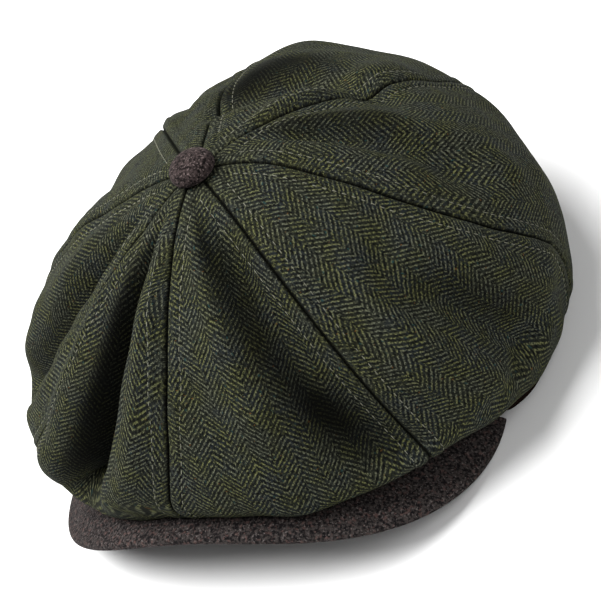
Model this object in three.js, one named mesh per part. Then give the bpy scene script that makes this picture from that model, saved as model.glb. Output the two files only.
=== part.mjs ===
// A soft newsboy cap: eight crown panels, a head band, a stiff peak and a covered button.
// Millimetres, +Z up, the front of the cap faces -Y, the wearer's left is +X.
import * as THREE from 'three';

// Driving sizes
const CROWN_REACH = 116.5;        // head axis to the crown's widest line
const CROWN_HEIGHT = 131;         // rest plane to the point where the panels meet
const TOP_LEFT = 29.5;            // how far that point lies to the wearer's left
const TOP_FORWARD = 34.5;         // and how far in front of the head axis
const TUCK = 13;                  // how far the hem turns in under the widest line
const CLOTH = 2;                  // wall of a crown panel
const PANEL_PUFF = 3;             // how far a panel swells between its seams
const FOLD_DEPTH = 18;            // depth of the deepest fold
const SEAM_GAP = 0.3;             // clearance between neighbouring pieces
const BAND_HALF_WIDTH = 102;
const BAND_HALF_LENGTH = 83;
const BAND_HEIGHT = 25;
const BAND_WALL = 2;
const BAND_SPLAY = 14;            // how far the band's rim is spread at the peak's ends
const PEAK_HALF_WIDTH = 99.5;
const PEAK_LENGTH = 41;           // from the band's front to the peak's tip
const PEAK_RISE = 35;             // the arch of the peak above the rest plane
const PEAK_DROP = 0.025;          // slope of the peak towards its tip
const PEAK_THICKNESS = 4;
const BUTTON_RADIUS = 9.5;
const BUTTON_HEIGHT = 8;
const BUTTON_EDGE = 2;            // height of its widest line
const BUTTON_FOOT_RADIUS = 8.5;
const BUTTON_FLATNESS = 0.7;      // under 1 makes its dome flatter
const HEM_CLEARANCE = 0.6;        // the hem stays this far above what it lies on
const BAND_EASE = 1.6;            // its extra clearance from the band at the band's rim

// One row for each seam, from the centre front round by the wearer's left.
// reach is a share of CROWN_REACH, waist and hem are shares of CROWN_HEIGHT,
// fullness is the exponent of the rounded section, sway is the seam's sideways bend in degrees.
const SEAMS = [
  { reach: 1.01, waist: 0.40, hem: 0.250, fullness: 1.44, sway: 5.5 },
  { reach: 1.07, waist: 0.26, hem: 0.176, fullness: 1.67, sway: -2.5 },
  { reach: 1.06, waist: 0.31, hem: 0.005, fullness: 1.70, sway: -12.5 },
  { reach: 0.96, waist: 0.45, hem: 0.080, fullness: 1.45, sway: -9.5 },
  { reach: 0.90, waist: 0.55, hem: 0.080, fullness: 1.40, sway: 9.5 },
  { reach: 1.00, waist: 0.32, hem: 0.080, fullness: 1.36, sway: -5 },
  { reach: 0.92, waist: 0.38, hem: 0.090, fullness: 1.34, sway: 4.5 },
  { reach: 1.00, waist: 0.36, hem: 0.125, fullness: 1.28, sway: 13 },
];

// One row for each fold. start and end are its azimuths in degrees at its upper and lower end,
// from and to say where it runs (0 top, 1 widest line, 2 hem), width is in degrees,
// depth is a share of FOLD_DEPTH, outwards where it is positive.
const FOLDS = [
  { start: 337, end: 336, from: 0.16, to: 1.35, width: 4.5, depth: -1 },
  { start: 314, end: 326, from: 0.22, to: 1.15, width: 6, depth: 0.25 },
  { start: 352, end: 351, from: 0.20, to: 1.10, width: 5, depth: 0.208 },
  { start: 31, end: 42, from: 0.14, to: 1.15, width: 6.5, depth: -0.625 },
  { start: 17, end: 24, from: 0.15, to: 0.90, width: 5, depth: 0.167 },
  { start: 4, end: 18, from: 0.50, to: 0.90, width: 4, depth: -0.125 },
  { start: 185, end: 127, from: 0.24, to: 0.56, width: 12, depth: -0.375 },
  { start: 143, end: 139, from: 0.14, to: 0.75, width: 6, depth: 0.208 },
  { start: 119, end: 100, from: 0.16, to: 0.80, width: 6, depth: -0.417 },
  { start: 130, end: 98, from: 0.08, to: 0.95, width: 5, depth: 0.167 },
  { start: 71, end: 70, from: 0.58, to: 1.30, width: 5.5, depth: -0.458 },
  { start: 84, end: 83, from: 0.50, to: 1.15, width: 6, depth: 0.146 },
  { start: 60, end: 61, from: 0.60, to: 1.15, width: 6, depth: 0.167 },
  { start: 64, end: 53, from: 0.45, to: 0.90, width: 4, depth: 0.146 },
  { start: 72, end: 65, from: 0.48, to: 0.75, width: 4, depth: -0.146 },
  { start: 296, end: 297, from: 0.18, to: 1.10, width: 4.5, depth: -0.667 },
  { start: 283, end: 284, from: 0.25, to: 1.10, width: 6, depth: 0.125 },
  { start: 268, end: 270, from: 0.30, to: 1.00, width: 7, depth: 0.146 },
  { start: 250, end: 248, from: 0.25, to: 1.10, width: 7, depth: -0.146 },
  { start: 208, end: 212, from: 0.25, to: 1.30, width: 6, depth: -0.062 },
  { start: 221, end: 221, from: 0.20, to: 1.10, width: 8, depth: 0.208 },
  { start: 188, end: 184, from: 0.60, to: 1.40, width: 6, depth: -0.208 },
  { start: 157, end: 152, from: 0.60, to: 1.20, width: 8, depth: -0.167 },
  { start: 169, end: 170, from: 0.55, to: 1.10, width: 5, depth: 0.104 },
  { start: 118, end: 116, from: 0.65, to: 1.30, width: 10, depth: -0.125 },
];

// How finely the faceted shells are cut
const PANEL_ACROSS = 12;
const PANEL_ALONG = 22;
const BAND_STEPS = 90;
const PEAK_ACROSS = 28;
const PEAK_ALONG = 5;
const BUTTON_SIDES = 24;
const BUTTON_RINGS = 6;

// The band's rim is spread over this arc, and the peak ends inside it
const SPLAY_AZIMUTH = 71;
const SPLAY_ARC = 15;
const PEAK_END_AZIMUTH = 60;
const RIM_LEVEL_AZIMUTH = 88;     // from here backwards the band's rim lies flat
const PANEL_TIP = 0.06;           // the panels stop short of the top, under the button
const HEM_PART = 2;               // place along a panel of the hem
const PANEL_END = 3;              // place along a panel where it meets the band
const PEAK_ROUNDNESS = 3;
const PANEL_ARC = 360 / SEAMS.length;

// How the cloth's relief and softness fade in below the top and out towards the band
const FADE_IN = 0.5;
const FADE_OUT = 0.8;
const PUFF_POWER = 0.8;           // under 1 makes the swell between seams flatter
const FOLD_TAPER = 0.3;           // share of a fold's length in which it runs out

// Steps along and across the crown for its averages and its normals
const SOFT_STEP = 0.1;
const SOFT_SAMPLES = [
  { offset: -2, weight: 0.0625 },
  { offset: -1, weight: 0.25 },
  { offset: 0, weight: 0.375 },
  { offset: 1, weight: 0.25 },
  { offset: 2, weight: 0.0625 },
];
const ALONG_STEP = 0.02;
const ACROSS_STEP = 1;

const RAD = Math.PI / 180;
const DEG = 180 / Math.PI;

function clamp(value, low, high) {
  return Math.min(high, Math.max(low, value));
}

function smooth(value) {
  const t = clamp(value, 0, 1);
  return t * t * (3 - 2 * t);
}

// Signed difference of two azimuths, between -180 and 180
function turn(from, to) {
  return ((to - from + 540) % 360) - 180;
}

// A smooth closed curve through one column of the seam table
function seamValue(column, azimuth) {
  const count = SEAMS.length;
  const place = ((((azimuth % 360) + 360) % 360) / 360) * count;
  const row = Math.floor(place);
  const f = place - row;
  const at = (step) => SEAMS[(row + step + count) % count][column];
  const [a, b, c, d] = [at(-1), at(0), at(1), at(2)];
  return b + 0.5 * f * (c - a + f * (2 * a - 5 * b + 4 * c - d + f * (3 * (b - c) + d - a)));
}

// The band's outer radius at an azimuth; rise is 0 at the rim and 1 at the top edge
function bandRadius(azimuth, rise) {
  const side = Math.sin(azimuth * RAD) / BAND_HALF_WIDTH;
  const front = Math.cos(azimuth * RAD) / BAND_HALF_LENGTH;
  const off = (Math.abs(turn(0, azimuth)) - SPLAY_AZIMUTH) / SPLAY_ARC;
  const splay = BAND_SPLAY * Math.exp(-off * off) * (1 - rise);
  return 1 / Math.hypot(side, front) + splay;
}

// The underside of the peak, which also carries the band's front rim
function peakUnderside(x, y) {
  const endForward = bandRadius(PEAK_END_AZIMUTH, 0) * Math.cos(PEAK_END_AZIMUTH * RAD);
  const across = x / PEAK_HALF_WIDTH;
  return PEAK_RISE * (1 - across * across) + PEAK_DROP * (y + endForward);
}

// 1 over the peak, 0 behind the place where the band's rim lies flat
function overPeak(azimuth) {
  const away = Math.abs(turn(0, azimuth));
  return smooth((RIM_LEVEL_AZIMUTH - away) / (RIM_LEVEL_AZIMUTH - PEAK_END_AZIMUTH));
}

function bandRimHeight(azimuth) {
  const radius = bandRadius(azimuth, 0);
  const x = radius * Math.sin(azimuth * RAD);
  const y = -radius * Math.cos(azimuth * RAD);
  return Math.max(0, peakUnderside(x, y)) * overPeak(azimuth);
}

// The crown's bare form; place runs 0 top, 1 widest line, 2 hem, 3 edge on the band
function crownForm(azimuth, place) {
  const along = clamp(place, 0, 1);
  const swung = azimuth + seamValue('sway', azimuth) * Math.sin(Math.PI * along);
  const reach = CROWN_REACH * seamValue('reach', swung);
  const waist = CROWN_HEIGHT * seamValue('waist', swung);
  const hem = CROWN_HEIGHT * seamValue('hem', swung);
  const power = 2 / seamValue('fullness', swung);
  const side = Math.sin(swung * RAD);
  const front = -Math.cos(swung * RAD);
  const out = Math.pow(Math.sin(along * Math.PI / 2), power);
  const up = Math.pow(Math.cos(along * Math.PI / 2), power);
  const under = clamp(place - 1, 0, 1) * Math.PI / 2;
  const inside = clamp(place - HEM_PART, 0, 1) * Math.PI / 2;
  const edgeRadius = bandRadius(swung, 1) + SEAM_GAP;
  const edgeHeight = bandRimHeight(swung) + BAND_HEIGHT;
  const tuck = TUCK * (1 - Math.cos(under)) + (reach - TUCK - edgeRadius) * Math.sin(inside);
  const x = TOP_LEFT + (reach * side - TOP_LEFT) * out - side * tuck;
  const y = -TOP_FORWARD + (reach * front + TOP_FORWARD) * out - front * tuck;
  const z = waist + (CROWN_HEIGHT - waist) * up
    - (waist - hem) * Math.sin(under)
    + (edgeHeight - hem) * (1 - Math.cos(inside));
  return new THREE.Vector3(x, y, z);
}

// The form averaged over nearby places, which rounds it off at the widest line and at the hem
function crownSoft(azimuth, place) {
  const fade = smooth(place / FADE_IN) * smooth((PANEL_END - place) / FADE_OUT);
  const sum = new THREE.Vector3();
  for (const { offset, weight } of SOFT_SAMPLES) {
    sum.addScaledVector(crownForm(azimuth, place + SOFT_STEP * offset * fade), weight);
  }
  return sum;
}

// Folds and the swell between seams, along the outward normal
function crownRelief(azimuth, place) {
  const across = ((azimuth + 360) % PANEL_ARC) / PANEL_ARC;
  const fade = smooth(place / FADE_IN) * smooth((PANEL_END - place) / FADE_OUT);
  let relief = PANEL_PUFF * Math.pow(Math.sin(Math.PI * across), PUFF_POWER) * fade;
  for (const fold of FOLDS) {
    const run = (place - fold.from) / (fold.to - fold.from);
    const line = fold.start + (fold.end - fold.start) * clamp(run, 0, 1);
    const off = turn(line, azimuth) / fold.width;
    const ends = smooth(run / FOLD_TAPER) * smooth((1 - run) / FOLD_TAPER);
    relief += FOLD_DEPTH * fold.depth * Math.exp(-off * off) * ends;
  }
  return relief;
}

// Keeps the crown's lower part above the peak, and its inner face outside the band
function settle(point, normal) {
  const azimuth = Math.atan2(point.x, -point.y) * DEG;
  const peakTop = peakUnderside(point.x, point.y) + PEAK_THICKNESS;
  const bed = Math.max(0, peakTop * overPeak(azimuth)) + HEM_CLEARANCE;
  point.z = Math.max(point.z, bed);
  const rise = clamp((point.z - bandRimHeight(azimuth)) / BAND_HEIGHT, 0, 1);
  const radius = Math.hypot(point.x, point.y);
  const lean = Math.max(0, (normal.x * point.x + normal.y * point.y) / radius);
  const room = bandRadius(azimuth, rise) + SEAM_GAP + CLOTH * lean + BAND_EASE * (1 - rise);
  if (radius < room) {
    point.x *= room / radius;
    point.y *= room / radius;
  }
}

// Outer and inner point of the cloth at one place of the crown
function crownCloth(azimuth, place) {
  const base = crownSoft(azimuth, place);
  const left = crownSoft(azimuth + ACROSS_STEP, place);
  const acrossStep = left.sub(crownSoft(azimuth - ACROSS_STEP, place));
  const low = Math.max(place - ALONG_STEP, PANEL_TIP / 2);
  const high = Math.min(place + ALONG_STEP, PANEL_END);
  const alongStep = crownSoft(azimuth, high).sub(crownSoft(azimuth, low));
  const normal = alongStep.cross(acrossStep).normalize();
  const outer = base.clone().addScaledVector(normal, crownRelief(azimuth, place));
  if (place > 1) settle(outer, normal);
  const inner = outer.clone().addScaledVector(normal, -CLOTH);
  return { outer, inner };
}

// A closed shell from two grids of points, the second one CLOTH-like behind the first
function shellGeometry(front, back) {
  const rows = front.length;
  const columns = front[0].length;
  const positions = [];
  for (const grid of [front, back]) {
    for (const row of grid) {
      for (const point of row) positions.push(point.x, point.y, point.z);
    }
  }
  const index = [];
  const f = (i, j) => i * columns + j;
  const b = (i, j) => rows * columns + i * columns + j;
  const quad = (p, q, r, s) => index.push(p, r, q, p, s, r);
  for (let i = 0; i < rows - 1; i += 1) {
    for (let j = 0; j < columns - 1; j += 1) {
      quad(f(i, j), f(i + 1, j), f(i + 1, j + 1), f(i, j + 1));
      quad(b(i, j), b(i, j + 1), b(i + 1, j + 1), b(i + 1, j));
    }
  }
  for (let i = 0; i < rows - 1; i += 1) {
    quad(f(i + 1, 0), f(i, 0), b(i, 0), b(i + 1, 0));
    quad(f(i, columns - 1), f(i + 1, columns - 1), b(i + 1, columns - 1), b(i, columns - 1));
  }
  for (let j = 0; j < columns - 1; j += 1) {
    quad(f(0, j), f(0, j + 1), b(0, j + 1), b(0, j));
    quad(f(rows - 1, j), b(rows - 1, j), b(rows - 1, j + 1), f(rows - 1, j + 1));
  }
  const geometry = new THREE.BufferGeometry();
  geometry.setAttribute('position', new THREE.Float32BufferAttribute(positions, 3));
  geometry.setIndex(index);
  geometry.computeVertexNormals();
  return geometry;
}

// One crown panel, between seam number and the next seam
function crownPanel(number) {
  const outer = [];
  const inner = [];
  for (let i = 0; i <= PANEL_ACROSS; i += 1) {
    const outerLine = [];
    const innerLine = [];
    for (let j = 0; j <= PANEL_ALONG; j += 1) {
      const place = PANEL_TIP + (PANEL_END - PANEL_TIP) * (j / PANEL_ALONG);
      const start = number * PANEL_ARC;
      const seam = crownSoft(start, place);
      const radius = Math.hypot(seam.x - TOP_LEFT, seam.y + TOP_FORWARD);
      const margin = (SEAM_GAP / 2 / Math.max(radius, 1)) * DEG;
      const azimuth = start + margin + (PANEL_ARC - 2 * margin) * (i / PANEL_ACROSS);
      const cloth = crownCloth(azimuth, place);
      outerLine.push(cloth.outer);
      innerLine.push(cloth.inner);
    }
    outer.push(outerLine);
    inner.push(innerLine);
  }
  return shellGeometry(outer, inner);
}

// The head band: a closed ring of four faces round the head
function bandGeometry() {
  const positions = [];
  const index = [];
  for (let i = 0; i < BAND_STEPS; i += 1) {
    const azimuth = (i / BAND_STEPS) * 360;
    const side = Math.sin(azimuth * RAD);
    const front = -Math.cos(azimuth * RAD);
    const rim = bandRimHeight(azimuth);
    const corners = [[0, 0], [1, 0], [1, BAND_WALL], [0, BAND_WALL]];
    for (const [rise, wall] of corners) {
      const radius = bandRadius(azimuth, rise) - wall;
      positions.push(radius * side, radius * front, rim + rise * BAND_HEIGHT);
    }
    const next = (i + 1) % BAND_STEPS;
    for (let k = 0; k < 4; k += 1) {
      const m = (k + 1) % 4;
      index.push(4 * i + k, 4 * next + k, 4 * next + m, 4 * i + k, 4 * next + m, 4 * i + m);
    }
  }
  const geometry = new THREE.BufferGeometry();
  geometry.setAttribute('position', new THREE.Float32BufferAttribute(positions, 3));
  geometry.setIndex(index);
  geometry.computeVertexNormals();
  return geometry;
}

// The peak's plan: its inner edge follows the band, its outer edge is a flattened round
function peakPlan(across, depth) {
  const azimuth = PEAK_END_AZIMUTH * across;
  const innerRadius = bandRadius(azimuth, 0) + SEAM_GAP;
  const innerX = innerRadius * Math.sin(azimuth * RAD);
  const innerY = -innerRadius * Math.cos(azimuth * RAD);
  const endForward = bandRadius(PEAK_END_AZIMUTH, 0) * Math.cos(PEAK_END_AZIMUTH * RAD);
  const tipForward = BAND_HALF_LENGTH + PEAK_LENGTH;
  const share = Math.sin(across * Math.PI / 2);
  const bulge = Math.sqrt(1 - Math.pow(Math.abs(share), PEAK_ROUNDNESS));
  const outerX = PEAK_HALF_WIDTH * share;
  const outerY = -endForward - (tipForward - endForward) * bulge;
  return {
    x: innerX + (outerX - innerX) * depth,
    y: innerY + (outerY - innerY) * depth,
  };
}

function peakGeometry() {
  const top = [];
  const bottom = [];
  for (let i = 0; i <= PEAK_ACROSS; i += 1) {
    const topLine = [];
    const bottomLine = [];
    for (let j = 0; j <= PEAK_ALONG; j += 1) {
      const across = (2 * i) / PEAK_ACROSS - 1;
      const { x, y } = peakPlan(across, j / PEAK_ALONG);
      const z = peakUnderside(x, y);
      topLine.push(new THREE.Vector3(x, y, z + PEAK_THICKNESS));
      bottomLine.push(new THREE.Vector3(x, y, z));
    }
    top.push(topLine);
    bottom.push(bottomLine);
  }
  return shellGeometry(top, bottom);
}

// A low dome covered in cloth
function buttonGeometry() {
  const profile = [new THREE.Vector2(0, 0), new THREE.Vector2(BUTTON_FOOT_RADIUS, 0)];
  for (let i = 0; i < BUTTON_RINGS; i += 1) {
    const angle = (i / BUTTON_RINGS) * Math.PI / 2;
    const radius = BUTTON_RADIUS * Math.pow(Math.cos(angle), BUTTON_FLATNESS);
    const height = BUTTON_EDGE + (BUTTON_HEIGHT - BUTTON_EDGE) * Math.sin(angle);
    profile.push(new THREE.Vector2(radius, height));
  }
  profile.push(new THREE.Vector2(0, BUTTON_HEIGHT));
  return new THREE.LatheGeometry(profile, BUTTON_SIDES).rotateX(Math.PI / 2);
}

const herringboneWool = () => new THREE.MeshStandardMaterial({ color: '#4b4e42', roughness: 0.95, metalness: 0 });
const heatherWool = () => new THREE.MeshStandardMaterial({ color: '#4a4244', roughness: 0.95, metalness: 0 });
const bandCloth = () => new THREE.MeshStandardMaterial({ color: '#2a2120', roughness: 0.9, metalness: 0 });

function namedMesh(name, geometry, material) {
  const mesh = new THREE.Mesh(geometry, material);
  mesh.name = name;
  return mesh;
}

const cap = new THREE.Group();
for (let number = 0; number < SEAMS.length; number += 1) {
  cap.add(namedMesh(`crown_panel_${number + 1}`, crownPanel(number), herringboneWool()));
}
cap.add(namedMesh('band', bandGeometry(), bandCloth()));
cap.add(namedMesh('peak', peakGeometry(), heatherWool()));
const button = namedMesh('button', buttonGeometry(), heatherWool());
button.position.set(TOP_LEFT, -TOP_FORWARD, CROWN_HEIGHT + SEAM_GAP);
cap.add(button);

// The origin is the middle of the cap's outline, on the plane that it rests on
cap.updateMatrixWorld(true);
const outline = new THREE.Box3().setFromObject(cap, true);
const middle = outline.getCenter(new THREE.Vector3());
cap.position.set(-middle.x, -middle.y, -outline.min.z);

export default cap;
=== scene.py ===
import math
import bpy
import numpy as np
from mathutils import Matrix, Vector


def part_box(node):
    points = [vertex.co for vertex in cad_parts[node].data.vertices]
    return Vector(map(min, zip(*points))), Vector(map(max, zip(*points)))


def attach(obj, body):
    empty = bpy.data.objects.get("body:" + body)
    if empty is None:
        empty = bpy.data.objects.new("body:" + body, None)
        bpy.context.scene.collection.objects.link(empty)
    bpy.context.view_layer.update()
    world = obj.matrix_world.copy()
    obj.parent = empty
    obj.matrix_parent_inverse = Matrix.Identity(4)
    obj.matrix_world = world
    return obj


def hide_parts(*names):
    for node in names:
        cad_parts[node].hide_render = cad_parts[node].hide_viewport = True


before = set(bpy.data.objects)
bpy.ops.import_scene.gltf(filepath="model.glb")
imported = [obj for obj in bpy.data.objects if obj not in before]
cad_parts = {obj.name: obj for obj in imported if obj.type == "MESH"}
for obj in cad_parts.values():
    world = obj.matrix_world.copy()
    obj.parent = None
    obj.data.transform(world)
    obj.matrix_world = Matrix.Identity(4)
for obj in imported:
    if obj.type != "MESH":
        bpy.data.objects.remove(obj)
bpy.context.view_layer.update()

MM = 0.001
FULL_TURN = 360.0

# Sizes of the cap in millimetres, round the head axis, as the solids have them
CROWN_REACH = 116.5
CROWN_HEIGHT = 131.0
TOP_LEFT = 29.5
TOP_FORWARD = 34.5
TUCK = 13.0
CLOTH = 2.0
PANEL_PUFF = 3.0
FOLD_DEPTH = 18.0
SEAM_GAP = 0.3
BAND_HALF_WIDTH = 102.0
BAND_HALF_LENGTH = 83.0
BAND_HEIGHT = 25.0
BAND_WALL = 2.0
BAND_SPLAY = 14.0
BAND_EASE = 1.6
SPLAY_AZIMUTH = 71.0
SPLAY_ARC = 15.0
RIM_LEVEL_AZIMUTH = 88.0
PEAK_HALF_WIDTH = 99.5
PEAK_LENGTH = 41.0
PEAK_RISE = 35.0
PEAK_DROP = 0.025
PEAK_THICKNESS = 4.0
PEAK_END_AZIMUTH = 60.0
PEAK_ROUNDNESS = 3.0
BUTTON_RADIUS = 8.6
BUTTON_HEIGHT = 7.4
BUTTON_EDGE = 2.0              # height of its widest line
BUTTON_FOOT = ((0.0, 0.0), (7.4, 0.0), (8.2, 0.6))   # radius and height under that line
BUTTON_FLATNESS = 0.7
BUTTON_RINGS = 24
BUTTON_SIDES = 64
HEM_CLEARANCE = 0.6

# Places along a panel: 0 top, 1 widest line, 2 hem, 3 edge on the band
PANEL_TIP = 0.06
HEM_PART = 2.0
PANEL_END = 3.0
FADE_IN = 0.5
FADE_OUT = 0.8
PUFF_POWER = 0.8
FOLD_TAPER = 0.3
SOFT_STEP = 0.1
SOFT_SAMPLES = ((-2, 0.0625), (-1, 0.25), (0, 0.375), (1, 0.25), (2, 0.0625))
ALONG_STEP = 0.02
ACROSS_STEP = 1.0

# One row for each seam from the centre front round by the wearer's left
SEAM_COLUMNS = ("reach", "waist", "hem", "fullness", "sway")
SEAMS = (
    (1.01, 0.40, 0.250, 1.44, 5.5),
    (1.07, 0.26, 0.176, 1.67, -2.5),
    (1.06, 0.31, 0.005, 1.70, -12.5),
    (0.96, 0.45, 0.080, 1.45, -9.5),
    (0.90, 0.55, 0.080, 1.40, 9.5),
    (1.00, 0.32, 0.080, 1.36, -5),
    (0.92, 0.38, 0.090, 1.34, 4.5),
    (1.00, 0.36, 0.125, 1.28, 13),
)
PANELS = len(SEAMS)
PANEL_ARC = FULL_TURN / PANELS

# The folds of the solids: azimuth at the upper and lower end, where they run, width, depth
FOLD_COLUMNS = ("start", "end", "from", "to", "width", "depth")
FOLDS = (
    (337, 336, 0.16, 1.35, 4.5, -1),
    (314, 326, 0.22, 1.15, 6, 0.25),
    (352, 351, 0.20, 1.10, 5, 0.208),
    (31, 42, 0.14, 1.15, 6.5, -0.625),
    (17, 24, 0.15, 0.90, 5, 0.167),
    (4, 18, 0.50, 0.90, 4, -0.125),
    (185, 127, 0.24, 0.56, 12, -0.375),
    (143, 139, 0.14, 0.75, 6, 0.208),
    (119, 100, 0.16, 0.80, 6, -0.417),
    (130, 98, 0.08, 0.95, 5, 0.167),
    (71, 70, 0.58, 1.30, 5.5, -0.458),
    (84, 83, 0.50, 1.15, 6, 0.146),
    (60, 61, 0.60, 1.15, 6, 0.167),
    (64, 53, 0.45, 0.90, 4, 0.146),
    (72, 65, 0.48, 0.75, 4, -0.146),
    (296, 297, 0.18, 1.10, 4.5, -0.667),
    (283, 284, 0.25, 1.10, 6, 0.125),
    (268, 270, 0.30, 1.00, 7, 0.146),
    (250, 248, 0.25, 1.10, 7, -0.146),
    (208, 212, 0.25, 1.30, 6, -0.062),
    (221, 221, 0.20, 1.10, 8, 0.208),
    (188, 184, 0.60, 1.40, 6, -0.208),
    (157, 152, 0.60, 1.20, 8, -0.167),
    (169, 170, 0.55, 1.10, 5, 0.104),
    (118, 116, 0.65, 1.30, 10, -0.125),
)

band_low, band_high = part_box("band")
HEAD_X = (band_low[0] + band_high[0]) / 2
HEAD_Y = (band_low[1] + band_high[1]) / 2


def smooth(value):
    t = np.clip(value, 0.0, 1.0)
    return t * t * (3 - 2 * t)


def turn(start, end):
    return ((end - start + 540.0) % FULL_TURN) - 180.0


def bell(offset):
    return np.exp(-offset * offset)


def seam_value(column, azimuth):
    """A smooth closed curve through one column of the seam table."""
    values = np.array([row[SEAM_COLUMNS.index(column)] for row in SEAMS])
    place = (azimuth % FULL_TURN) / FULL_TURN * PANELS
    row = np.floor(place).astype(int)
    f = place - row
    a, b, c, d = (values[(row + step) % PANELS] for step in (-1, 0, 1, 2))
    return b + 0.5 * f * (c - a + f * (2 * a - 5 * b + 4 * c - d + f * (3 * (b - c) + d - a)))


def band_radius(azimuth, rise):
    angle = np.radians(azimuth)
    ellipse = 1 / np.hypot(np.sin(angle) / BAND_HALF_WIDTH, np.cos(angle) / BAND_HALF_LENGTH)
    off = (np.abs(turn(0.0, azimuth)) - SPLAY_AZIMUTH) / SPLAY_ARC
    return ellipse + BAND_SPLAY * bell(off) * (1 - rise)


def peak_end_forward():
    return band_radius(PEAK_END_AZIMUTH, 0) * math.cos(math.radians(PEAK_END_AZIMUTH))


def peak_underside(x, y):
    across = x / PEAK_HALF_WIDTH
    return PEAK_RISE * (1 - across * across) + PEAK_DROP * (y + peak_end_forward())


def over_peak(azimuth):
    away = np.abs(turn(0.0, azimuth))
    return smooth((RIM_LEVEL_AZIMUTH - away) / (RIM_LEVEL_AZIMUTH - PEAK_END_AZIMUTH))


def band_rim_height(azimuth):
    radius = band_radius(azimuth, 0)
    angle = np.radians(azimuth)
    height = peak_underside(radius * np.sin(angle), -radius * np.cos(angle))
    return np.maximum(0, height) * over_peak(azimuth)


def crown_form(azimuth, place):
    """The crown's bare form; place runs 0 top, 1 widest line, 2 hem, 3 edge on the band."""
    along = np.clip(place, 0.0, 1.0)
    swung = azimuth + seam_value("sway", azimuth) * np.sin(np.pi * along)
    reach = CROWN_REACH * seam_value("reach", swung)
    waist = CROWN_HEIGHT * seam_value("waist", swung)
    hem = CROWN_HEIGHT * seam_value("hem", swung)
    power = 2 / seam_value("fullness", swung)
    side = np.sin(np.radians(swung))
    front = -np.cos(np.radians(swung))
    out = np.sin(along * np.pi / 2) ** power
    up = np.clip(np.cos(along * np.pi / 2), 0.0, 1.0) ** power
    under = np.clip(place - 1, 0.0, 1.0) * np.pi / 2
    inside = np.clip(place - HEM_PART, 0.0, 1.0) * np.pi / 2
    edge_radius = band_radius(swung, 1) + SEAM_GAP
    edge_height = band_rim_height(swung) + BAND_HEIGHT
    tuck = TUCK * (1 - np.cos(under)) + (reach - TUCK - edge_radius) * np.sin(inside)
    x = TOP_LEFT + (reach * side - TOP_LEFT) * out - side * tuck
    y = -TOP_FORWARD + (reach * front + TOP_FORWARD) * out - front * tuck
    z = (
        waist
        + (CROWN_HEIGHT - waist) * up
        - (waist - hem) * np.sin(under)
        + (edge_height - hem) * (1 - np.cos(inside))
    )
    return np.stack([x, y, z], axis=-1)


def relief_fade(place):
    return smooth(place / FADE_IN) * smooth((PANEL_END - place) / FADE_OUT)


def crown_soft(azimuth, place):
    """The form averaged over nearby places, which rounds it off at its widest line and hem."""
    fade = relief_fade(place)
    return sum(
        weight * crown_form(azimuth, place + SOFT_STEP * offset * fade)
        for offset, weight in SOFT_SAMPLES
    )


def fold_relief(folds, azimuth, place):
    relief = np.zeros_like(azimuth)
    for row in folds:
        fold = dict(zip(FOLD_COLUMNS, row))
        run = (place - fold["from"]) / (fold["to"] - fold["from"])
        line = fold["start"] + (fold["end"] - fold["start"]) * np.clip(run, 0.0, 1.0)
        ends = smooth(run / FOLD_TAPER) * smooth((1 - run) / FOLD_TAPER)
        relief += FOLD_DEPTH * fold["depth"] * bell(turn(line, azimuth) / fold["width"]) * ends
    return relief


def puff_relief(azimuth, place):
    across = (azimuth % PANEL_ARC) / PANEL_ARC
    return PANEL_PUFF * np.sin(np.pi * across) ** PUFF_POWER * relief_fade(place)


def settle(point, normal):
    """Keeps the crown's lower part above the peak, and its inner face outside the band."""
    x, y, z = (point[..., k].copy() for k in range(3))
    azimuth = np.degrees(np.arctan2(x, -y))
    bed = np.maximum(0, (peak_underside(x, y) + PEAK_THICKNESS) * over_peak(azimuth))
    z = np.maximum(z, bed + HEM_CLEARANCE)
    rise = np.clip((z - band_rim_height(azimuth)) / BAND_HEIGHT, 0.0, 1.0)
    radius = np.hypot(x, y)
    lean = np.maximum(0, (normal[..., 0] * x + normal[..., 1] * y) / radius)
    room = band_radius(azimuth, rise) + SEAM_GAP + CLOTH * lean + BAND_EASE * (1 - rise)
    scale = np.maximum(1.0, room / radius)
    return np.stack([x * scale, y * scale, z], axis=-1)


def crown_normal(azimuth, place):
    left = crown_soft(azimuth + ACROSS_STEP, place)
    right = crown_soft(azimuth - ACROSS_STEP, place)
    high = crown_soft(azimuth, np.minimum(place + ALONG_STEP, PANEL_END))
    low = crown_soft(azimuth, np.maximum(place - ALONG_STEP, PANEL_TIP / 2))
    normal = np.cross(high - low, left - right)
    return normal / np.linalg.norm(normal, axis=-1, keepdims=True)


# Fine relief of the sewn cloth, in millimetres
PANEL_COLUMNS_AT_SEAM = 16
PANEL_COLUMNS_BETWEEN = 44
PANEL_ROWS = 190
SEAM_STRIP_SHARE = 0.08        # share of a panel's width that the finer columns take at each seam
GROOVE_DEPTH = 1.3
GROOVE_WIDTH = 0.6
ALLOWANCE_RISE = 0.6           # the cloth is thicker over the seam's turned-in edges
ALLOWANCE_WIDTH = 5.6
ALLOWANCE_SLOPE = 1.8
STITCH_DIP = 0.35
STITCH_DIP_WIDTH = 0.8
RIPPLE_HEIGHT = 0.35
RIPPLE_WAVES = 24
RIPPLE_LENGTHS = (16.0, 45.0)
RIPPLE_SEED = 12
SEAM_START = 0.06              # the seam's relief grows to its full height over these places
SEAM_FINISH = 0.5

ripple_random = np.random.default_rng(RIPPLE_SEED)


def ripple_directions():
    directions = ripple_random.normal(size=(RIPPLE_WAVES, 3))
    directions /= np.linalg.norm(directions, axis=1, keepdims=True)
    lengths = ripple_random.uniform(*RIPPLE_LENGTHS, size=(RIPPLE_WAVES, 1))
    return directions * 2 * np.pi / lengths


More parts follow.
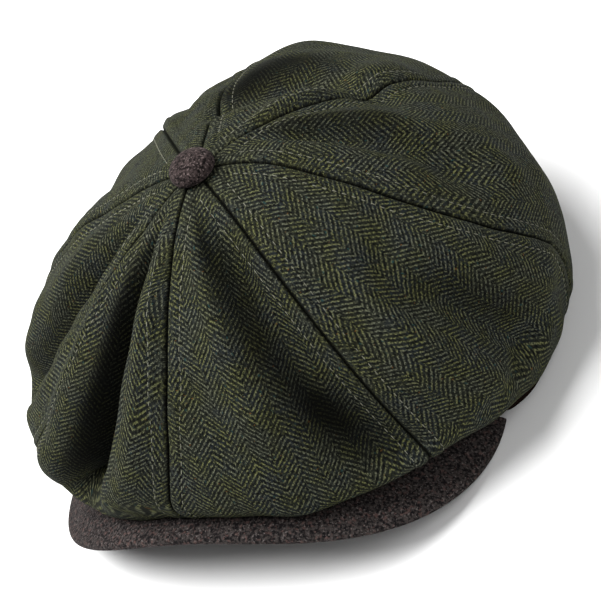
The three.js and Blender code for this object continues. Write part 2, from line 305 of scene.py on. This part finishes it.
RIPPLES = ripple_directions()
RIPPLE_PHASES = ripple_random.uniform(0, 2 * np.pi, RIPPLE_WAVES)


def ripple(points):
    waves = np.cos(points @ RIPPLES.T + RIPPLE_PHASES)
    return RIPPLE_HEIGHT * waves.sum(axis=-1) / math.sqrt(RIPPLE_WAVES / 2)


def seam_relief(distance, place):
    groove = -GROOVE_DEPTH * bell(distance / GROOVE_WIDTH)
    allowance = ALLOWANCE_RISE * (1 - smooth((distance - ALLOWANCE_WIDTH) / ALLOWANCE_SLOPE + 0.5))
    dip = -STITCH_DIP * bell((distance - ALLOWANCE_WIDTH) / STITCH_DIP_WIDTH)
    start = smooth((place - PANEL_TIP) / SEAM_START)
    finish = smooth((PANEL_END - place) / SEAM_FINISH)
    return (groove + allowance + dip) * start * finish


def panel_columns():
    """Shares of a panel's width, closer together beside the seams."""
    strip = np.linspace(0, SEAM_STRIP_SHARE, PANEL_COLUMNS_AT_SEAM + 1)[:-1]
    between = np.linspace(SEAM_STRIP_SHARE, 1 - SEAM_STRIP_SHARE, PANEL_COLUMNS_BETWEEN + 1)
    return np.concatenate([strip, between, 1 - strip[::-1]])


# Past this place the weave runs straight down to the hem
STRAIGHT_PLACE = 0.7


def running_length(points):
    steps = np.linalg.norm(np.diff(points, axis=0), axis=-1)
    return np.concatenate([np.zeros((1,) + steps.shape[1:]), np.cumsum(steps, axis=0)])


def cloth_coordinates(points, normals):
    """Lays the panel's weave out flat: straight down its centre line, then carried sideways."""
    columns, rows = points.shape[:2]
    middle = columns // 2
    flat = np.zeros((columns, rows, 2))
    flat[middle, :, 1] = running_length(points[middle])
    warp_start = np.gradient(points[middle], axis=0)
    for step in (1, -1):
        warp = warp_start.copy()
        stop = columns if step == 1 else -1
        for i in range(middle + step, stop, step):
            warp -= (warp * normals[i]).sum(-1, keepdims=True) * normals[i]
            warp /= np.linalg.norm(warp, axis=-1, keepdims=True)
            weft = np.cross(normals[i], warp)
            move = points[i] - points[i - step]
            flat[i, :, 0] = flat[i - step, :, 0] + (move * weft).sum(-1)
            flat[i, :, 1] = flat[i - step, :, 1] + (move * warp).sum(-1)
    row = np.searchsorted(panel_places(), STRAIGHT_PLACE)
    across = folded_width(points)
    down = running_length(points.swapaxes(0, 1)).swapaxes(0, 1)
    flat[:, row:, 0] = flat[:, row:row + 1, 0] + across[:, row:] - across[:, row:row + 1]
    flat[:, row:, 1] = flat[:, row:row + 1, 1] + down[:, row:] - down[:, row:row + 1]
    return flat


def folded_width(points):
    """Width across the panel from its centre line, measured along the surface."""
    width = running_length(points)
    return width - width[len(points) // 2]


def grid_faces(columns, rows, offset=0, flip=False):
    i, j = np.meshgrid(np.arange(columns - 1), np.arange(rows - 1), indexing="ij")
    a = (offset + i * rows + j).ravel()
    quads = np.stack([a, a + rows, a + rows + 1, a + 1], axis=1)
    return quads[:, ::-1] if flip else quads


def border_faces(columns, rows, offset):
    """Joins the edges of two equal grids, the second one starting at offset."""
    first = [i * rows for i in range(columns)]
    last = [i * rows + rows - 1 for i in range(columns)]
    left = list(range(rows))
    right = [(columns - 1) * rows + j for j in range(rows)]
    faces = []
    for line, flip in ((first, False), (last, True), (left, True), (right, False)):
        for p, q in zip(line[:-1], line[1:]):
            quad = (p, p + offset, q + offset, q)
            faces.append(quad[::-1] if flip else quad)
    return np.array(faces)


def add_piece(name, points, faces, material, replaced=()):
    """A smooth mesh in the frame from points in millimetres round the head axis."""
    place = np.array([HEAD_X, HEAD_Y, 0.0])
    mesh = bpy.data.meshes.new(name)
    mesh.from_pydata((points * MM + place).tolist(), [], faces.tolist())
    mesh.validate()
    mesh.polygons.foreach_set("use_smooth", [True] * len(mesh.polygons))
    mesh.materials.append(material)
    piece = bpy.data.objects.new(name, mesh)
    bpy.context.scene.collection.objects.link(piece)
    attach(piece, "root")
    if replaced:
        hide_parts(*replaced)
    return piece


def add_cloth_map(piece, flat):
    """Weave coordinates in metres, u across the panel and v down it."""
    layer = piece.data.uv_layers.new(name="weave")
    corners = np.empty(len(piece.data.loops), dtype=int)
    piece.data.loops.foreach_get("vertex_index", corners)
    layer.data.foreach_set("uv", (flat[corners] * MM).ravel())


def add_measure(piece, name, values):
    attribute = piece.data.attributes.new(name, "FLOAT", "POINT")
    attribute.data.foreach_set("value", values)


CLOTH_GLOSS = 0.08


class Shading:
    """Short calls for one material's nodes. A value may be a number or another node's output."""

    def __init__(self, name, roughness):
        self.material = bpy.data.materials.new(name)
        self.material.use_nodes = True
        self.nodes = self.material.node_tree.nodes
        self.links = self.material.node_tree.links
        self.surface = self.nodes["Principled BSDF"]
        self.surface.inputs["Roughness"].default_value = roughness
        self.surface.inputs["Specular IOR Level"].default_value = CLOTH_GLOSS

    def feed(self, value, socket):
        if isinstance(value, bpy.types.NodeSocket):
            self.links.new(value, socket)
        else:
            socket.default_value = value

    def math(self, operation, *values):
        node = self.nodes.new("ShaderNodeMath")
        node.operation = operation
        for value, socket in zip(values, node.inputs):
            self.feed(value, socket)
        return node.outputs[0]

    def vector(self, x, y, z=0.0):
        node = self.nodes.new("ShaderNodeCombineXYZ")
        for value, socket in zip((x, y, z), node.inputs):
            self.feed(value, socket)
        return node.outputs[0]

    def noise(self, vector, scale, detail):
        node = self.nodes.new("ShaderNodeTexNoise")
        self.feed(vector, node.inputs["Vector"])
        node.inputs["Scale"].default_value = scale
        node.inputs["Detail"].default_value = detail
        return node.outputs["Fac"]

    def span(self, value, low, high, to_low=0.0, to_high=1.0):
        """The value's way from low to high, eased and clamped, as to_low to to_high."""
        node = self.nodes.new("ShaderNodeMapRange")
        node.interpolation_type = "SMOOTHSTEP"
        for item, socket in zip((value, low, high, to_low, to_high), node.inputs):
            self.feed(item, socket)
        return node.outputs[0]

    def mix(self, factor, first, second):
        node = self.nodes.new("ShaderNodeMix")
        node.data_type = "RGBA"
        self.feed(factor, node.inputs[0])
        self.feed(first, node.inputs[6])
        self.feed(second, node.inputs[7])
        return node.outputs[2]

    def object_point(self):
        return self.nodes.new("ShaderNodeTexCoord").outputs["Object"]

    def weave_point(self):
        node = self.nodes.new("ShaderNodeUVMap")
        node.uv_map = "weave"
        parts = self.nodes.new("ShaderNodeSeparateXYZ")
        self.links.new(node.outputs[0], parts.inputs[0])
        return node.outputs[0], parts.outputs[0], parts.outputs[1]

    def measure(self, name):
        node = self.nodes.new("ShaderNodeAttribute")
        node.attribute_name = name
        return node.outputs["Fac"]

    def colour(self, value):
        self.feed(value, self.surface.inputs["Base Color"])

    def bump(self, height, distance, strength):
        node = self.nodes.new("ShaderNodeBump")
        node.inputs["Strength"].default_value = strength
        node.inputs["Distance"].default_value = distance
        self.feed(height, node.inputs["Height"])
        self.links.new(node.outputs[0], self.surface.inputs["Normal"])

    def sheen(self, weight, roughness, tint):
        self.surface.inputs["Sheen Weight"].default_value = weight
        self.surface.inputs["Sheen Roughness"].default_value = roughness
        self.surface.inputs["Sheen Tint"].default_value = tint


# The herringbone, in metres
COLUMN_WIDTH = 0.0072
TWILL_PITCH = 0.0022           # from one light line to the next, measured down the panel
YARN_PITCH = 0.0009            # from one light stitch of a line to the next
WANDER = 0.0006                # how far the lines stray from their straight run
PLAIN_EDGE = (0.0, 0.0040)     # the pattern grows clearer over these distances from a seam
PLAIN_SHARE = 0.6
PLAIN_TONE = 0.32
DARKER_SEAM_AND_PAINTED_SHADE_REACH = (0.0002, 0.0009)  # the wool is darker over these distances towards a seam: partly the turned-in seam, partly painted shade of its groove
DARKER_SEAM_AND_PAINTED_SHADE_DEPTH = 0.9

# Details of the noises, as a number of them in each metre
WANDER_ACROSS = 260.0
WANDER_DOWN = 310.0
GRAIN = 1000.0
FINE_GRAIN = 1900.0
STREAK = (1300.0, 500.0)
YARN_PATCH = 90.0
GROUND_PATCH = 60.0
RUST_SPECK = (500.0, 900.0)
TEAL_SPECK = (700.0, 400.0)
TEAL_SLICE = 5.0

# The wool's colours
GROUND = (0.0035, 0.004, 0.0038, 1.0)
GROUND_LIGHT = (0.018, 0.0200, 0.015, 1.0)
GROUND_BLUE = (0.014, 0.0175, 0.021, 1.0)
OLIVE = (0.122, 0.126, 0.055, 1.0)
GREY_GREEN = (0.108, 0.114, 0.082, 1.0)
RUST_FLECK = (0.11, 0.055, 0.018, 1.0)
TEAL_FLECK = (0.018, 0.05, 0.05, 1.0)
# painted shade on the fold walls, and also the colour of the darker seam line
PAINTED_SHADE_AND_DARKER_SEAM = (0.0015, 0.0016, 0.0012, 1.0)
WOOL_SHEEN = (0.75, 0.85, 0.6, 1.0)


def herringbone_lines(s, u, v):
    """The light lines of the twill, which turn round at each column."""
    column = s.math("FLOOR", s.math("DIVIDE", u, COLUMN_WIDTH))
    odd = s.math("PINGPONG", column, 1.0)
    slope = s.math("MULTIPLY_ADD", odd, -2.0, 1.0)
    along = s.math("SUBTRACT", u, s.math("MULTIPLY", column, COLUMN_WIDTH))
    lift = s.math("MULTIPLY", slope, along)
    rows = s.math("DIVIDE", s.math("ADD", v, lift), TWILL_PITCH)
    phase = s.math("MULTIPLY_ADD", odd, 0.5, rows)
    wave = s.math("COSINE", s.math("MULTIPLY", phase, 2 * math.pi))
    return s.span(wave, -0.4, 1.0, 0.05, 0.9)


def scaled(s, u, v, scale, slice_at=0.0):
    return s.vector(s.math("MULTIPLY", u, scale[0]), s.math("MULTIPLY", v, scale[1]), slice_at)


def herringbone_wool():
    s = Shading("herringbone_wool", 0.9)
    point, u, v = s.weave_point()
    u = s.math("MULTIPLY_ADD", s.noise(point, WANDER_ACROSS, 1.0), WANDER, u)
    v = s.math("MULTIPLY_ADD", s.noise(point, WANDER_DOWN, 1.0), WANDER, v)
    twill = herringbone_lines(s, u, v)
    plain = s.span(s.measure("seam_distance"), *PLAIN_EDGE, 1 - PLAIN_SHARE, 1.0)
    twill = s.math("MULTIPLY_ADD", s.math("SUBTRACT", twill, PLAIN_TONE), plain, PLAIN_TONE)
    bead_wave = s.math("COSINE", s.math("MULTIPLY", u, 2 * math.pi / YARN_PITCH))
    beads = s.math("MULTIPLY_ADD", bead_wave, 0.25, 0.68)
    grain = s.span(s.noise(point, GRAIN, 1.0), 0.35, 0.70, 0.15, 2.2)
    fine = s.span(s.noise(point, FINE_GRAIN, 1.0), 0.35, 0.7, 0.3, 1.8)
    light = s.math("MULTIPLY", s.math("MULTIPLY", twill, beads), s.math("MULTIPLY", grain, fine))
    streak = s.span(s.noise(scaled(s, u, v, STREAK), 1.0, 2.0), 0.35, 0.7)
    blue = s.span(s.noise(point, GROUND_PATCH, 2.0), 0.4, 0.6)
    ground = s.mix(streak, GROUND, s.mix(blue, GROUND_LIGHT, GROUND_BLUE))
    yarn = s.mix(s.span(s.noise(point, YARN_PATCH, 2.0), 0.35, 0.65), GREY_GREEN, OLIVE)
    colour = s.mix(light, ground, yarn)
    rust = s.noise(scaled(s, u, v, RUST_SPECK), 1.0, 1.0)
    colour = s.mix(s.span(rust, 0.72, 0.80, 0.0, 0.8), colour, RUST_FLECK)
    teal = s.noise(scaled(s, u, v, TEAL_SPECK, TEAL_SLICE), 1.0, 1.0)
    colour = s.mix(s.span(teal, 0.68, 0.78, 0.0, 0.7), colour, TEAL_FLECK)
    # darker seam line: partly the turned-in seam, partly painted shade of its groove
    darker_seam_and_painted_shade = s.span(s.measure("seam_distance"), *DARKER_SEAM_AND_PAINTED_SHADE_REACH, DARKER_SEAM_AND_PAINTED_SHADE_DEPTH, 0.0)
    # painted shade on the fold walls, taken together with the darker seam line
    shade = s.math("MAXIMUM", s.measure("fold_painted_shade"), darker_seam_and_painted_shade)
    s.colour(s.mix(shade, colour, PAINTED_SHADE_AND_DARKER_SEAM))
    s.bump(light, 0.0003, 0.6)
    s.sheen(0.012, 0.5, WOOL_SHEEN)
    return s.material


# The colours of the peak, button, band and thread
PEAK_DARK = (0.008, 0.007, 0.0075, 1.0)
PEAK_MID = (0.044, 0.038, 0.036, 1.0)
PEAK_LIGHT = (0.12, 0.106, 0.102, 1.0)
PEAK_RED = (0.095, 0.060, 0.054, 1.0)
PEAK_SHEEN = (0.9, 0.8, 0.8, 1.0)
BUTTON_DARK = (0.007, 0.0058, 0.0056, 1.0)
BUTTON_MID = (0.046, 0.035, 0.034, 1.0)
BUTTON_LIGHT = (0.15, 0.12, 0.115, 1.0)
BUTTON_SHEEN = (0.9, 0.75, 0.75, 1.0)
BAND_DARK = (0.006, 0.003, 0.0025, 1.0)
BAND_LIGHT = (0.024, 0.012, 0.01, 1.0)
THREAD_DARK = (0.09, 0.09, 0.07, 1.0)
THREAD_LIGHT = (0.22, 0.22, 0.175, 1.0)

# Details of their noises, as a number of them in each metre
FIBRE = 900.0
PALE_FIBRE = 1300.0
PEAK_BLOTCH = 620.0
BUTTON_LUMP = 320.0
BAND_GRAIN = 1500.0


def heather_wool():
    s = Shading("heather_wool", 0.92)
    point = s.object_point()
    fine = s.noise(point, FIBRE, 3.0)
    coarse = s.noise(point, PEAK_BLOTCH, 2.0)
    pale = s.noise(point, PALE_FIBRE, 2.0)
    colour = s.mix(s.span(fine, 0.38, 0.66), PEAK_DARK, PEAK_MID)
    colour = s.mix(s.span(coarse, 0.54, 0.70, 0.0, 0.6), colour, PEAK_RED)
    s.colour(s.mix(s.span(pale, 0.56, 0.72, 0.0, 0.8), colour, PEAK_LIGHT))
    s.bump(s.math("ADD", fine, coarse), 0.0004, 0.5)
    s.sheen(0.04, 0.5, PEAK_SHEEN)
    return s.material


def button_wool():
    s = Shading("button_wool", 0.92)
    point = s.object_point()
    fine = s.noise(point, FIBRE, 3.0)
    coarse = s.noise(point, BUTTON_LUMP, 2.0)
    pale = s.noise(point, PALE_FIBRE, 2.0)
    colour = s.mix(s.span(fine, 0.35, 0.62), BUTTON_DARK, BUTTON_MID)
    s.colour(s.mix(s.span(pale, 0.56, 0.70, 0.0, 0.8), colour, BUTTON_LIGHT))
    s.bump(s.math("ADD", fine, coarse), 0.0008, 0.9)
    s.sheen(0.06, 0.5, BUTTON_SHEEN)
    return s.material


def band_cotton():
    s = Shading("band_cotton", 0.8)
    grain = s.noise(s.object_point(), BAND_GRAIN, 2.0)
    s.colour(s.mix(grain, BAND_DARK, BAND_LIGHT))
    s.bump(grain, 0.0002, 0.4)
    return s.material


def stitch_thread():
    s = Shading("stitch_thread", 0.6)
    s.colour(s.mix(s.noise(s.object_point(), FIBRE, 1.0), THREAD_DARK, THREAD_LIGHT))
    return s.material


# Strokes of painted shade on the walls of the deeper folds: the columns of FOLDS, with the
# share of its colour that the wool loses to the painted shade there in the place of the depth
PAINTED_SHADE_STROKES = (
    (329, 333, 0.18, 1.10, 5, 0.90),
    (20, 39, 0.12, 1.00, 4.5, 0.60),
    (20, 24, 0.11, 0.36, 3, 0.30),
    (34, 41, 0.62, 1.10, 5, 0.50),
    (178, 155, 0.32, 0.60, 10, 0.90),
    (127, 114, 0.18, 0.55, 5, 0.50),
    (281, 292, 0.24, 0.60, 4, 0.30),
    (292, 293, 0.48, 0.95, 3.5, 0.40),
    (75, 74, 0.60, 1.05, 3.5, 0.35),
)
# the most painted shade that a fold's wall gets
MOST_PAINTED_SHADE = 0.9

SEAM_MARGIN = 1e-4             # share of a panel's width that keeps it off the seam itself


def crown_surface(azimuth, place, seam_distance):
    """The crown's outer face with its folds and sewn detail, and its normals."""
    normal = crown_normal(azimuth, place)
    base = crown_soft(azimuth, place)
    large = puff_relief(azimuth, place) + fold_relief(FOLDS, azimuth, place)
    surface = base + normal * large[..., None]
    surface = np.where((place > 1)[..., None], settle(surface, normal), surface)
    fine = seam_relief(seam_distance, place) + ripple(surface) * relief_fade(place)
    return surface + normal * fine[..., None], normal


def fold_painted_shade(azimuth, place):
    """How much of its colour the wool loses to painted shade on the walls of the folds, from 0 to
    1.
    """
    return np.clip(fold_relief(PAINTED_SHADE_STROKES, azimuth, place) / FOLD_DEPTH, 0, MOST_PAINTED_SHADE)


def panel_places():
    return PANEL_TIP + (PANEL_END - PANEL_TIP) * np.linspace(0, 1, PANEL_ROWS + 1)


def seam_distances(azimuth, place):
    width = running_length(crown_soft(azimuth, place))
    return np.minimum(width, width[-1] - width)


def crown_panel(number, material):
    share, place = np.meshgrid(panel_columns(), panel_places(), indexing="ij")
    azimuth = number * PANEL_ARC + PANEL_ARC * np.clip(share, SEAM_MARGIN, 1 - SEAM_MARGIN)
    distance = seam_distances(azimuth, place)
    outer, normal = crown_surface(azimuth, place, distance)
    inner = outer - normal * CLOTH
    base = crown_soft(azimuth, place)
    flat = cloth_coordinates(base, normal)
    large = puff_relief(azimuth, place) + fold_relief(FOLDS, azimuth, place)
    flat[..., 0] += folded_width(base + normal * large[..., None]) - folded_width(base)
    columns, rows = outer.shape[:2]
    count = columns * rows
    faces = np.concatenate([
        grid_faces(columns, rows),
        grid_faces(columns, rows, count, flip=True),
        border_faces(columns, rows, count),
    ])
    points = np.concatenate([outer.reshape(-1, 3), inner.reshape(-1, 3)])
    node = f"crown_panel_{number + 1}"
    piece = add_piece(f"crown_cloth_{number + 1}", points, faces, material, [node])
    add_cloth_map(piece, np.tile(flat.reshape(-1, 2), (2, 1)))
    add_measure(piece, "seam_distance", np.tile(distance.ravel() * MM, 2))
    # the painted shade of the folds, carried on the points
    add_measure(piece, "fold_painted_shade", np.tile(fold_painted_shade(azimuth, place).ravel(), 2))
    return piece


# A stitch is a short thread with pointed ends, in millimetres
STITCH_LENGTH = 2.6
STITCH_GAP = 0.9
STITCH_RADIUS = 0.21
STITCH_PROUD = 0.02
STITCH_SIDES = 6
STITCH_RINGS = 5
STITCH_SINK = 0.25             # how far its ends dip into the cloth
STITCH_TIP = 0.02              # what is left of its section at the ends, squared
STITCH_ROUNDING = 4
STITCH_MARGIN = 1.0            # free length at both ends of a line
STITCH_PLACES = (0.10, 2.2)
STITCH_SAMPLES = 700
STITCH_REACH = 0.4             # share of a panel that a line may stray from its seam


def stitch_line(seam, side):
    """Points and normals along one topstitched line beside a seam."""
    place = np.linspace(*STITCH_PLACES, STITCH_SAMPLES)
    at_seam = np.full_like(place, seam * PANEL_ARC)
    spread = crown_soft(at_seam + side * ACROSS_STEP, place) - crown_soft(at_seam, place)
    per_degree = np.linalg.norm(spread, axis=-1) / ACROSS_STEP
    azimuth = at_seam + side * ALLOWANCE_WIDTH / per_degree
    keep = np.abs(azimuth - at_seam) < PANEL_ARC * STITCH_REACH
    azimuth, place = azimuth[keep], place[keep]
    distance = np.full_like(place, ALLOWANCE_WIDTH)
    return crown_surface(azimuth, place, distance)


def stitches_along(points, normals):
    length = running_length(points)
    last = length[-1] - STITCH_LENGTH - STITCH_MARGIN
    starts = np.arange(STITCH_MARGIN, last, STITCH_LENGTH + STITCH_GAP)
    angle = np.linspace(0, 2 * np.pi, STITCH_SIDES, endpoint=False)
    ring_place = np.linspace(0, 1, STITCH_RINGS)
    to_end = (2 * ring_place - 1) ** STITCH_ROUNDING
    ring_size = np.sqrt(np.clip(1 - to_end, STITCH_TIP, 1))
    all_points = []
    all_faces = []
    for start in starts:
        at = start + ring_place * STITCH_LENGTH
        centre = np.stack([np.interp(at, length, points[:, k]) for k in range(3)], axis=-1)
        up = np.stack([np.interp(at, length, normals[:, k]) for k in range(3)], axis=-1)
        along = np.gradient(centre, axis=0)
        along /= np.linalg.norm(along, axis=-1, keepdims=True)
        beside = np.cross(along, up)
        centre = centre + up * (STITCH_PROUD - STITCH_SINK * to_end[:, None])
        ring = (
            np.cos(angle)[None, :, None] * beside[:, None, :]
            + np.sin(angle)[None, :, None] * up[:, None, :]
        )
        tube = centre[:, None, :] + ring * (STITCH_RADIUS * ring_size)[:, None, None]
        first = sum(len(p) for p in all_points)
        all_points.append(tube.reshape(-1, 3))
        for r in range(STITCH_RINGS - 1):
            for k in range(STITCH_SIDES):
                n = (k + 1) % STITCH_SIDES
                a = first + r * STITCH_SIDES
                b = a + STITCH_SIDES
                all_faces.append((a + k, a + n, b + n, b + k))
        end = first + (STITCH_RINGS - 1) * STITCH_SIDES
        for m in range(1, STITCH_SIDES - 1, 2):
            all_faces.append((first, first + m + 2, first + m + 1, first + m))
            all_faces.append((end, end + m, end + m + 1, end + m + 2))
    return np.concatenate(all_points), all_faces


def topstitching(seam, material):
    points = []
    faces = []
    for side in (1, -1):
        line, normals = stitch_line(seam, side)
        new_points, new_faces = stitches_along(line, normals)
        offset = sum(len(p) for p in points)
        points.append(new_points)
        faces += [tuple(v + offset for v in face) for face in new_faces]
    name = f"topstitching_{seam + 1}"
    return add_piece(name, np.concatenate(points), np.array(faces), material)


# The peak's fine mesh
PEAK_COLUMNS = 180
PEAK_ROWS = 40
PEAK_EDGE_RADIUS = 2.0
PEAK_CLOSER_ACROSS = 1.6       # over 1 sets the mesh closer at the peak's ends and edge
PEAK_CLOSER_OUT = 2.2


def peak_plan(across, depth):
    azimuth = PEAK_END_AZIMUTH * across
    inner_radius = band_radius(azimuth, 0) + SEAM_GAP
    inner_x = inner_radius * np.sin(np.radians(azimuth))
    inner_y = -inner_radius * np.cos(np.radians(azimuth))
    end_forward = peak_end_forward()
    share = np.sin(across * np.pi / 2)
    bulge = np.sqrt(np.clip(1 - np.abs(share) ** PEAK_ROUNDNESS, 0.0, 1.0))
    outer_x = PEAK_HALF_WIDTH * share
    outer_y = -end_forward - (BAND_HALF_LENGTH + PEAK_LENGTH - end_forward) * bulge
    return inner_x + (outer_x - inner_x) * depth, inner_y + (outer_y - inner_y) * depth


def closer_at_end(count, power):
    return 1 - (1 - np.linspace(0, 1, count + 1)) ** power


def peak_piece(material):
    half = closer_at_end(PEAK_COLUMNS // 2, PEAK_CLOSER_ACROSS)
    across, depth = np.meshgrid(
        np.concatenate([-half[::-1], half[1:]]),
        closer_at_end(PEAK_ROWS, PEAK_CLOSER_OUT),
        indexing="ij",
    )
    x, y = peak_plan(across, depth)
    plan = np.stack([x, y], axis=-1)
    outward = np.linalg.norm(plan - plan[:, -1:], axis=-1)
    to_end = np.minimum(
        np.linalg.norm(plan - plan[:1], axis=-1), np.linalg.norm(plan - plan[-1:], axis=-1)
    )
    rim = np.minimum(outward, to_end)
    t = np.clip(1 - rim / PEAK_EDGE_RADIUS, 0.0, 1.0)
    half_thick = PEAK_THICKNESS / 2 * np.sqrt(np.clip(1 - t * t, 0.0, 1.0))
    middle = peak_underside(x, y) + PEAK_THICKNESS / 2
    top = np.stack([x, y, middle + half_thick], axis=-1)
    bottom = np.stack([x, y, middle - half_thick], axis=-1)
    columns, rows = x.shape
    count = columns * rows
    faces = np.concatenate([
        grid_faces(columns, rows, flip=True),
        grid_faces(columns, rows, count),
        border_faces(columns, rows, count)[:, ::-1],
    ])
    points = np.concatenate([top.reshape(-1, 3), bottom.reshape(-1, 3)])
    return add_piece("peak_wool", points, faces, material, ["peak"])


# Round the band's section: share of its height, and depth into its wall in millimetres
BAND_PROFILE = (
    (0.0, 0.0),
    (0.02, 0.0),
    (0.5, 0.0),
    (0.98, 0.0),
    (1.0, 0.4),
    (1.0, 1.6),
    (0.98, BAND_WALL),
    (0.5, BAND_WALL),
    (0.02, BAND_WALL),
    (0.0, 1.7),
)
BAND_COLUMNS = 360


def band_piece(material):
    azimuth = np.linspace(0, FULL_TURN, BAND_COLUMNS + 1)[:-1]
    points = []
    for rise, depth in BAND_PROFILE:
        radius = band_radius(azimuth, rise) - depth
        height = band_rim_height(azimuth) + rise * BAND_HEIGHT
        angle = np.radians(azimuth)
        points.append(np.stack([radius * np.sin(angle), -radius * np.cos(angle), height], axis=-1))
    count = len(azimuth)
    faces = []
    for k in range(len(BAND_PROFILE)):
        m = (k + 1) % len(BAND_PROFILE)
        for i in range(count):
            n = (i + 1) % count
            faces.append((k * count + i, k * count + n, m * count + n, m * count + i))
    points = np.concatenate(points)
    return add_piece("band_cloth", points, np.array(faces), material, ["band"])


def button_piece(material):
    angle = np.linspace(0, np.pi / 2, BUTTON_RINGS + 1)
    dome_radius = BUTTON_RADIUS * np.clip(np.cos(angle), 0, 1) ** BUTTON_FLATNESS
    dome_height = BUTTON_EDGE + (BUTTON_HEIGHT - BUTTON_EDGE) * np.sin(angle)
    radius = np.concatenate([[row[0] for row in BUTTON_FOOT], dome_radius])
    height = np.concatenate([[row[1] for row in BUTTON_FOOT], dome_height])
    turns = np.linspace(0, 2 * np.pi, BUTTON_SIDES, endpoint=False)
    points = np.stack([
        TOP_LEFT + radius[:, None] * np.cos(turns),
        -TOP_FORWARD + radius[:, None] * np.sin(turns),
        CROWN_HEIGHT + SEAM_GAP + height[:, None] + 0 * turns,
    ], axis=-1).reshape(-1, 3)
    faces = []
    for k in range(len(radius) - 1):
        ring = k * BUTTON_SIDES
        above = ring + BUTTON_SIDES
        for i in range(BUTTON_SIDES):
            n = (i + 1) % BUTTON_SIDES
            faces.append((ring + i, ring + n, above + n, above + i))
    return add_piece("button_wool", points, np.array(faces), material, ["button"])


# The camera, measured round a point above the middle of the head
CAMERA_AZIMUTH = 39.6
CAMERA_ELEVATION = 37.8
CAMERA_ROLL = -34.7
CAMERA_DISTANCE = 0.583
CAMERA_ACROSS = -0.0158
CAMERA_UP = 0.0131
CAMERA_PIVOT_HEIGHT = 0.048
CAMERA_LENS = 85.0
CAMERA_CLIP = 0.05


def camera_axes():
    """Right, up and backwards of the rolled camera."""
    az = math.radians(CAMERA_AZIMUTH)
    el = math.radians(CAMERA_ELEVATION)
    roll = math.radians(CAMERA_ROLL)
    back = Vector((math.sin(az) * math.cos(el), -math.cos(az) * math.cos(el), math.sin(el)))
    level = Vector((math.cos(az), math.sin(az), 0.0))
    upright = back.cross(level)
    right = level * math.cos(roll) + upright * math.sin(roll)
    up = upright * math.cos(roll) - level * math.sin(roll)
    return right, up, back


def aim(item, place, right, up, back):
    item.matrix_world = Matrix.Translation(place) @ Matrix((right, up, back)).transposed().to_4x4()


def add_camera():
    right, up, back = camera_axes()
    data = bpy.data.cameras.new("camera")
    data.lens = CAMERA_LENS
    data.clip_start = CAMERA_CLIP
    camera = bpy.data.objects.new("camera", data)
    bpy.context.scene.collection.objects.link(camera)
    pivot = Vector((HEAD_X, HEAD_Y, CAMERA_PIVOT_HEIGHT))
    place = pivot + back * CAMERA_DISTANCE - right * CAMERA_ACROSS - up * CAMERA_UP
    aim(camera, place, right, up, back)
    bpy.context.scene.camera = camera


def add_area_light(name, share, distance, size, power):
    right, up, back = camera_axes()
    direction = (up * share[0] + right * share[1] + back * share[2]).normalized()
    data = bpy.data.lights.new(name, "AREA")
    data.shape = "DISK"
    data.size = size
    data.energy = power
    light = bpy.data.objects.new(name, data)
    bpy.context.scene.collection.objects.link(light)
    side = direction.orthogonal().normalized()
    place = Vector((HEAD_X, HEAD_Y, CAMERA_PIVOT_HEIGHT)) + direction * distance
    aim(light, place, side, direction.cross(side), direction)


# The lights' directions are along the camera's up, right and backwards
KEY_DIRECTION = (0.47, -0.77, 0.44)
KEY_DISTANCE = 1.9
KEY_SIZE = 1.7
KEY_POWER = 74.0
FILL_DIRECTION = (0.3, 0.25, 0.92)
FILL_DISTANCE = 1.4
FILL_SIZE = 1.0
FILL_POWER = 8.5
WORLD_STRENGTH = 0.2
WHITE = (1.0, 1.0, 1.0, 1.0)
FLOOR_COLOUR = (0.8, 0.8, 0.8, 1.0)
FLOOR_SIZE = 8.0


def add_stage():
    floor_material = Shading("pale_floor", 0.9)
    floor_material.colour(FLOOR_COLOUR)
    half = FLOOR_SIZE / 2
    mesh = bpy.data.meshes.new("floor")
    corners = [(-half, -half, 0), (half, -half, 0), (half, half, 0), (-half, half, 0)]
    mesh.from_pydata(corners, [], [(0, 1, 2, 3)])
    mesh.materials.append(floor_material.material)
    floor = bpy.data.objects.new("floor", mesh)
    bpy.context.scene.collection.objects.link(floor)
    world = bpy.data.worlds.new("studio")
    world.use_nodes = True
    background = world.node_tree.nodes["Background"]
    background.inputs["Color"].default_value = WHITE
    background.inputs["Strength"].default_value = WORLD_STRENGTH
    bpy.context.scene.world = world
    add_area_light("key_light", KEY_DIRECTION, KEY_DISTANCE, KEY_SIZE, KEY_POWER)
    add_area_light("fill_light", FILL_DIRECTION, FILL_DISTANCE, FILL_SIZE, FILL_POWER)
    bpy.context.scene.view_settings.view_transform = "Standard"
    bpy.context.scene.view_settings.look = "Medium High Contrast"


def build():
    wool = herringbone_wool()
    thread = stitch_thread()
    for number in range(PANELS):
        crown_panel(number, wool)
        topstitching(number, thread)
    peak_piece(heather_wool())
    band_piece(band_cotton())
    button_piece(button_wool())
    add_camera()
    add_stage()


build()
